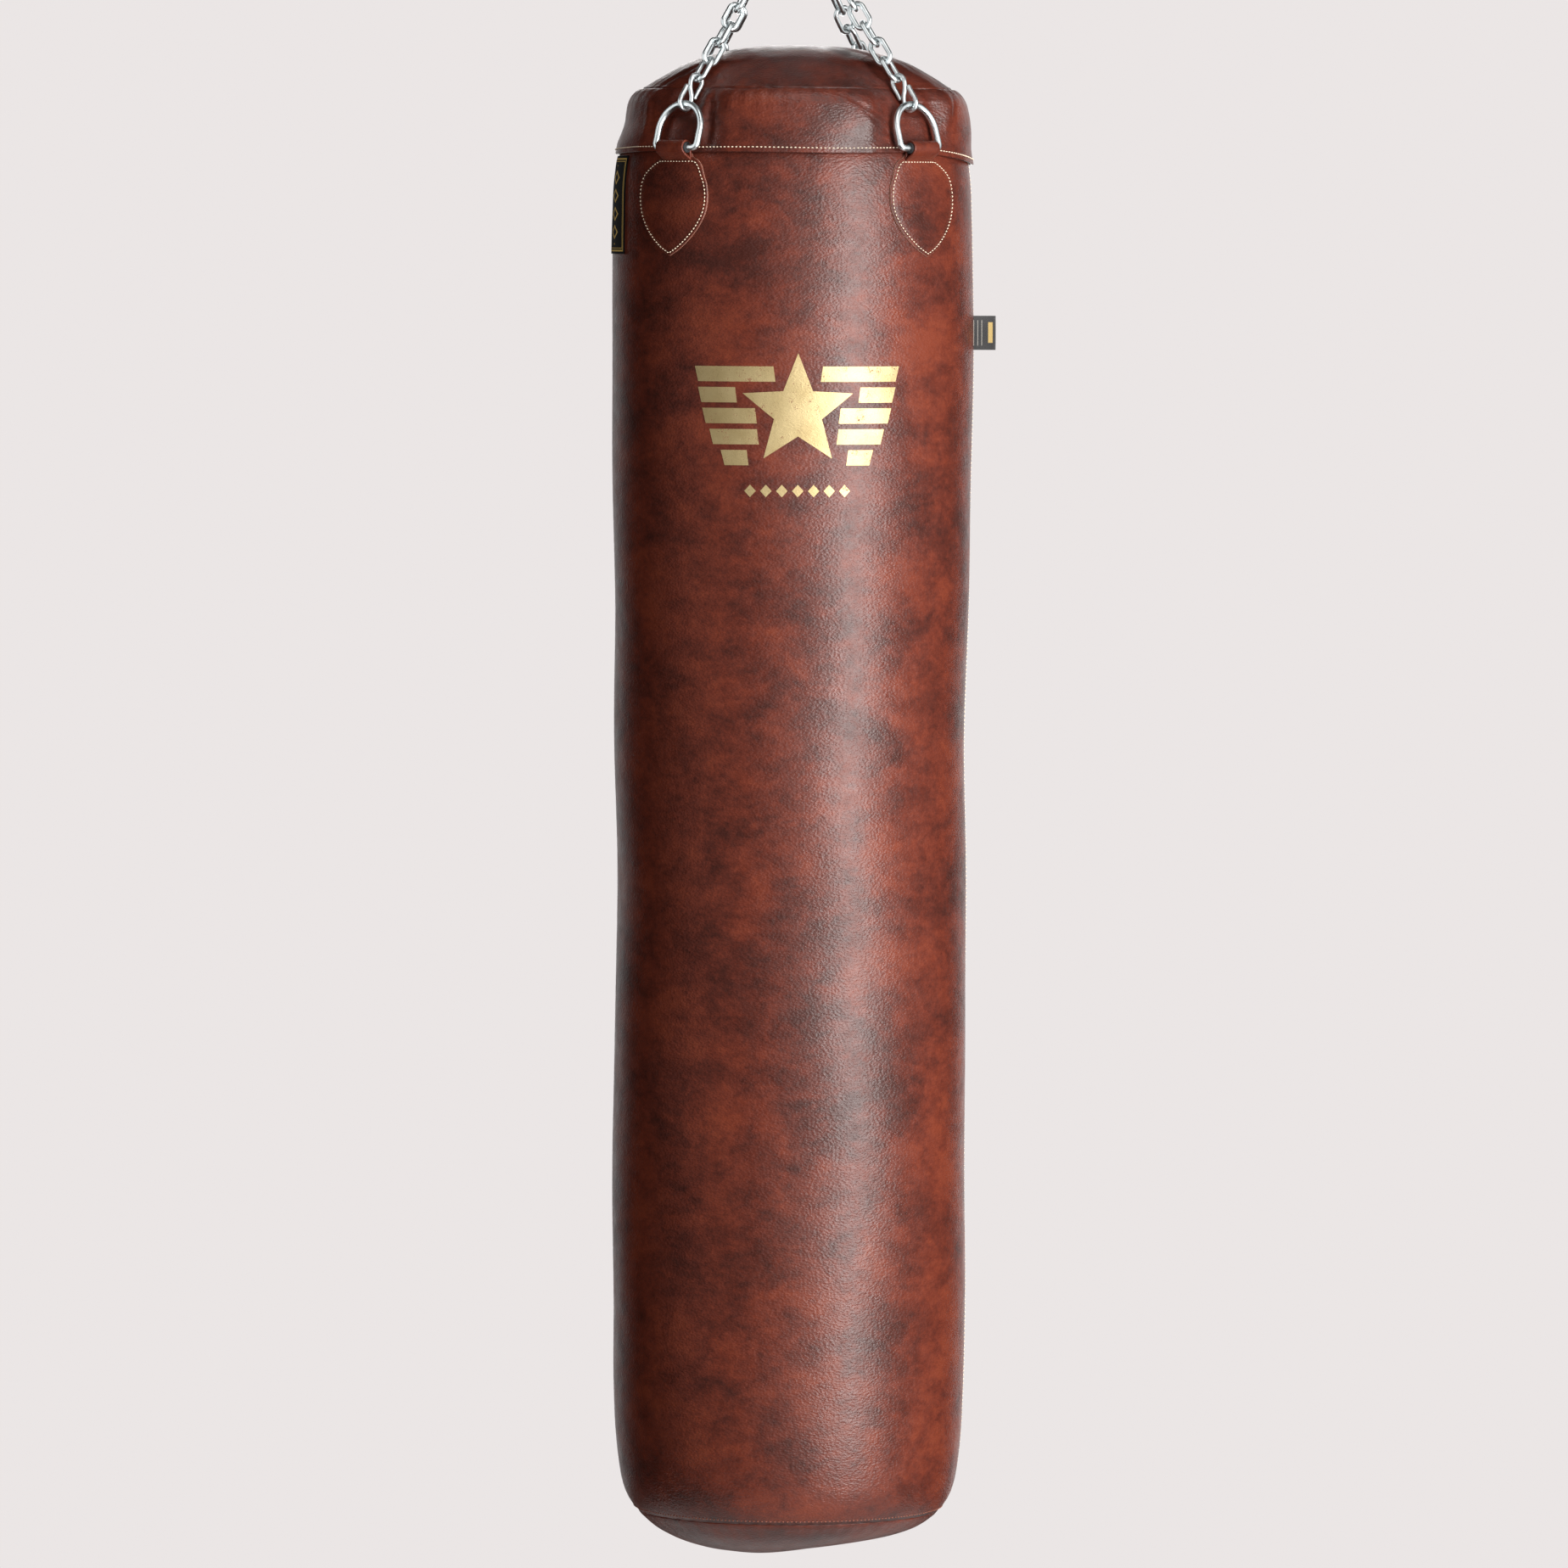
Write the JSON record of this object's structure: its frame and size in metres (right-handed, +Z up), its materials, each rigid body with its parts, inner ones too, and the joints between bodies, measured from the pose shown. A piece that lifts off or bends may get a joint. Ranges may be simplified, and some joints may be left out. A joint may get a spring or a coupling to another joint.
{
  "type": "hanging punching bag",
  "caption": "Cylindrical leather heavy bag with domed cap, leaf-shaped ring tabs, D rings and chains meeting on a steel ring under a swivel snap hook.",
  "frame": {"origin": "inside top of the snap hook, where it bears on what it hangs from", "axes": "+Z up, front of the bag (the emblem) towards -Y, +X to the right seen from the front"},
  "size_m": [0.3824, 0.357, 1.792],
  "materials": {
    "leather": "marbled red-brown, semi-gloss",
    "zinc_plate": "bright zinc plate",
    "steel": "plain steel",
    "webbing": "black woven webbing",
    "padding": "needle felt",
    "filling": "packed textile waste",
    "label": "woven black"
  },
  "bodies": {
    "snap_hook": {"snap_hook_body": "zinc_plate", "gate_pin": "steel"},
    "gate": {"snap_hook_gate": "zinc_plate"},
    "swivel": {"swivel_eye": "zinc_plate", "swivel_washer": "steel"},
    "ring": {"master_ring": "zinc_plate"},
    "bag": {"cover_panel": "leather", "cap_skirt": "leather", "cap_lid": "leather", "bottom_panel": "leather", "padding_layer": "padding", "packed_filling": "filling", "ring_tab_front_left": "leather", "ring_tab_front_right": "leather", "ring_tab_back_left": "leather", "ring_tab_back_right": "leather", "webbing_front_left": "webbing", "webbing_front_right": "webbing", "webbing_back_left": "webbing", "webbing_back_right": "webbing", "side_label": "label", "seam_tag": "label"},
    "d_ring_front_left_body": {"d_ring_front_left": "zinc_plate"},
    "chain_front_left": {"s_hook_front_left": "zinc_plate", "chain_front_left_link_1": "zinc_plate", "chain_front_left_link_2": "zinc_plate", "chain_front_left_link_3": "zinc_plate", "chain_front_left_link_4": "zinc_plate", "chain_front_left_link_5": "zinc_plate", "chain_front_left_upper_links": "zinc_plate", "top_link_front_left": "zinc_plate"},
    "d_ring_front_right_body": {"d_ring_front_right": "zinc_plate"},
    "chain_front_right": {"s_hook_front_right": "zinc_plate", "chain_front_right_link_1": "zinc_plate", "chain_front_right_link_2": "zinc_plate", "chain_front_right_link_3": "zinc_plate", "chain_front_right_link_4": "zinc_plate", "chain_front_right_link_5": "zinc_plate", "chain_front_right_upper_links": "zinc_plate", "top_link_front_right": "zinc_plate"},
    "d_ring_back_left_body": {"d_ring_back_left": "zinc_plate"},
    "chain_back_left": {"s_hook_back_left": "zinc_plate", "chain_back_left_link_1": "zinc_plate", "chain_back_left_link_2": "zinc_plate", "chain_back_left_link_3": "zinc_plate", "chain_back_left_link_4": "zinc_plate", "chain_back_left_link_5": "zinc_plate", "chain_back_left_upper_links": "zinc_plate", "top_link_back_left": "zinc_plate"},
    "d_ring_back_right_body": {"d_ring_back_right": "zinc_plate"},
    "chain_back_right": {"s_hook_back_right": "zinc_plate", "chain_back_right_link_1": "zinc_plate", "chain_back_right_link_2": "zinc_plate", "chain_back_right_link_3": "zinc_plate", "chain_back_right_link_4": "zinc_plate", "chain_back_right_link_5": "zinc_plate", "chain_back_right_upper_links": "zinc_plate", "top_link_back_right": "zinc_plate"}
  },
  "joints": [
    {"name": "gate_open", "type": "hinge", "parent": "snap_hook", "child": "gate", "pos_m": [0.0165, 0, -0.048], "axis": [0, -1, 0], "range_deg": [0, 35], "stiffness_Nm_per_rad": 0.08, "springref_deg": -20.05},
    {"name": "swivel_spin", "type": "hinge", "parent": "snap_hook", "child": "swivel", "pos_m": [0, 0, -0.061], "axis": [0, 0, 1], "continuous": true},
    {"name": "bag_swing", "type": "hinge", "parent": "swivel", "child": "ring", "pos_m": [0, 0, -0.1028], "axis": [1, 0, 0], "range_deg": [-50, 50]},
    {"name": "bag_lift", "type": "slide", "parent": "ring", "child": "bag", "axis": [0, 0, 1], "range_m": [0, 0.021]},
    {"name": "d_ring_flop_front_left", "type": "hinge", "parent": "bag", "child": "d_ring_front_left_body", "pos_m": [-0.12235, -0.13352, -0.38417], "axis": [0.7373, -0.6756, 0], "range_deg": [0, 30.7]},
    {"name": "chain_lean_front_left", "type": "hinge", "parent": "d_ring_front_left_body", "child": "chain_front_left", "pos_m": [-0.11125, -0.12585, -0.34113], "axis": [0.7373, -0.6756, 0], "range_deg": [-37.9, 0]},
    {"name": "d_ring_flop_front_right", "type": "hinge", "parent": "bag", "child": "d_ring_front_right_body", "pos_m": [0.12235, -0.13352, -0.38417], "axis": [0.7373, 0.6756, 0], "range_deg": [0, 31.6]},
    {"name": "chain_lean_front_right", "type": "hinge", "parent": "d_ring_front_right_body", "child": "chain_front_right", "pos_m": [0.11125, -0.12585, -0.34113], "axis": [0.7373, 0.6756, 0], "range_deg": [-38.9, 0]},
    {"name": "d_ring_flop_back_left", "type": "hinge", "parent": "bag", "child": "d_ring_back_left_body", "pos_m": [-0.10645, 0.14651, -0.38417], "axis": [-0.809, -0.5878, 0], "range_deg": [0, 30.7]},
    {"name": "chain_lean_back_left", "type": "hinge", "parent": "d_ring_back_left_body", "child": "chain_back_left", "pos_m": [-0.09709, 0.13873, -0.34074], "axis": [-0.809, -0.5878, 0], "range_deg": [-37.9, 0]},
    {"name": "d_ring_flop_back_right", "type": "hinge", "parent": "bag", "child": "d_ring_back_right_body", "pos_m": [0.10645, 0.14651, -0.38417], "axis": [-0.809, 0.5878, 0], "range_deg": [0, 29.8]},
    {"name": "chain_lean_back_right", "type": "hinge", "parent": "d_ring_back_right_body", "child": "chain_back_right", "pos_m": [0.09709, 0.13873, -0.34074], "axis": [-0.809, 0.5878, 0], "range_deg": [-36.8, 0]}
  ],
  "couplings": [
    {"joint": "d_ring_flop_front_left", "follows": "bag_lift", "rad_per_m": 25.063},
    {"joint": "chain_lean_front_left", "follows": "bag_lift", "rad_per_m": -31.072},
    {"joint": "d_ring_flop_front_right", "follows": "bag_lift", "rad_per_m": 25.832},
    {"joint": "chain_lean_front_right", "follows": "bag_lift", "rad_per_m": -31.922},
    {"joint": "d_ring_flop_back_left", "follows": "bag_lift", "rad_per_m": 25.113},
    {"joint": "chain_lean_back_left", "follows": "bag_lift", "rad_per_m": -31.043},
    {"joint": "d_ring_flop_back_right", "follows": "bag_lift", "rad_per_m": 24.328},
    {"joint": "chain_lean_back_right", "follows": "bag_lift", "rad_per_m": -30.172}
  ]
}
